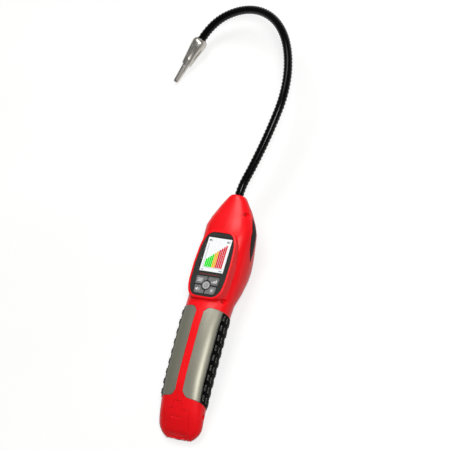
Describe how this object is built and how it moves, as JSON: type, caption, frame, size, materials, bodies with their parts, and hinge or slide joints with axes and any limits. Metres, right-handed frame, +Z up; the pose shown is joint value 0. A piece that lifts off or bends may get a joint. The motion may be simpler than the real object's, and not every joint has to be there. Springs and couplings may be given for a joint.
{
  "type": "refrigerant leak detector",
  "caption": "Handheld refrigerant leak detector with a grip handle, display head, keypad and a ribbed gooseneck probe with a metal sensor tip.",
  "frame": {"origin": "middle of the flat under the head, where the detector rests on its back", "axes": "+Y along the handle towards the nose, +Z up out of the display, +X to the display's right"},
  "size_m": [0.1853, 0.5115, 0.066],
  "materials": {
    "red_case": "satin moulded",
    "grey_panel": "satin metallic",
    "black_rubber": "matte",
    "bezel_black": "satin",
    "clear_window": "clear",
    "lcd": "lit display",
    "grey_key": "satin",
    "light_key": "satin",
    "circuit_board": "solder mask",
    "black_plastic": "moulded",
    "motor_steel": "brushed",
    "cell_aluminium": "machined",
    "clear_hose": "silicone",
    "battery_wrap": "shrink wrap",
    "spring_steel": "bright",
    "brass": "turned",
    "screw_steel": "zinc plated",
    "probe_black": "satin ribbed",
    "tip_metal": "satin nickel",
    "white_filter": "felt"
  },
  "bodies": {
    "case": {"housing_right": "red_case", "housing_left": "red_case", "panel_right": "grey_panel", "panel_left": "grey_panel", "grip_right": "black_rubber", "grip_left": "black_rubber", "heel_contact": "brass", "bezel": "bezel_black", "display_window": "clear_window", "lcd_module": "lcd", "main_board": "circuit_board", "tact_switches": "black_plastic", "buzzer": "black_plastic", "pump_head": "black_plastic", "pump_motor": "motor_steel", "sensor_cell": "cell_aluminium", "sample_hose": "clear_hose", "pump_hose": "clear_hose", "side_insert_right": "black_rubber", "side_insert_left": "black_rubber", "battery_sleeve": "black_plastic", "battery_cell_lower": "battery_wrap", "battery_cell_upper": "battery_wrap", "battery_spring": "spring_steel", "charge_socket": "black_plastic", "case_screws": "screw_steel", "gooseneck": "probe_black", "neck_ferrule": "brass", "tip_adapter": "tip_metal"},
    "key_power": {"key_power": "light_key"},
    "key_top_left": {"key_top_left": "grey_key"},
    "key_top_right": {"key_top_right": "grey_key"},
    "key_bottom_left": {"key_bottom_left": "grey_key"},
    "key_bottom_right": {"key_bottom_right": "grey_key"},
    "battery_door": {"battery_door": "red_case"},
    "sensor_tip": {"tip_cone": "tip_metal", "tip_nozzle": "tip_metal", "tip_filter": "white_filter"}
  },
  "joints": [
    {"name": "key_power_press", "type": "slide", "parent": "case", "child": "key_power", "axis": [0, 0.0281, -0.9996], "range_m": [0, 0.0006], "stiffness_N_per_m": 400},
    {"name": "key_top_left_press", "type": "slide", "parent": "case", "child": "key_top_left", "axis": [0, 0.0281, -0.9996], "range_m": [0, 0.0006], "stiffness_N_per_m": 400},
    {"name": "key_top_right_press", "type": "slide", "parent": "case", "child": "key_top_right", "axis": [0, 0.0281, -0.9996], "range_m": [0, 0.0006], "stiffness_N_per_m": 400},
    {"name": "key_bottom_left_press", "type": "slide", "parent": "case", "child": "key_bottom_left", "axis": [0, 0.0281, -0.9996], "range_m": [0, 0.0006], "stiffness_N_per_m": 400},
    {"name": "key_bottom_right_press", "type": "slide", "parent": "case", "child": "key_bottom_right", "axis": [0, 0.0281, -0.9996], "range_m": [0, 0.0006], "stiffness_N_per_m": 400},
    {"name": "battery_door_slide", "type": "slide", "parent": "case", "child": "battery_door", "axis": [0, -0.996, -0.0891], "range_m": [0, 0.045]},
    {"name": "sensor_tip_turn", "type": "hinge", "parent": "case", "child": "sensor_tip", "pos_m": [-0.12672, 0.27174, 0.01522], "axis": [-0.4162, -0.883, -0.217], "continuous": true}
  ]
}
